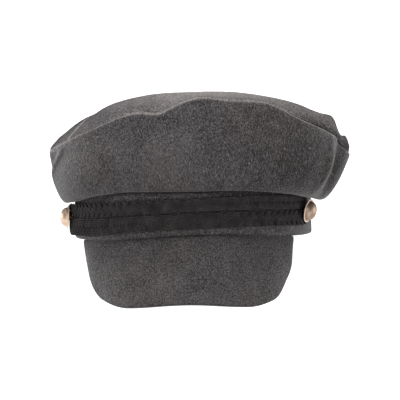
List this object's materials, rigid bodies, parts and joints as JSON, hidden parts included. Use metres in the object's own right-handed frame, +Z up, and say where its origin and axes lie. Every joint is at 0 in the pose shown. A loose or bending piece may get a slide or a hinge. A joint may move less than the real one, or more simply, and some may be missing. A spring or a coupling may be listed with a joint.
{
  "type": "captain hat",
  "caption": "Soft wool captain hat with a full crown, a short curved visor, a doubled braid strap across the band and domed side buttons.",
  "frame": {"origin": "centre of the hat's bounding box, on the surface it rests on", "axes": "+X to the right of someone facing the visor, -Y out over the visor, +Z up from the surface"},
  "size_m": [0.2188, 0.259, 0.1384],
  "materials": {
    "wool": "milled charcoal wool melange, matt with a short nap",
    "braid": "flat plaited black braid, soft satin",
    "gilt": "polished light rose-gold plate"
  },
  "bodies": {
    "root": {"band": "wool", "crown_front": "wool", "crown_back": "wool", "crown_top": "wool", "visor": "wool", "chin_strap": "braid", "button_left": "gilt", "button_right": "gilt"}
  },
  "joints": []
}
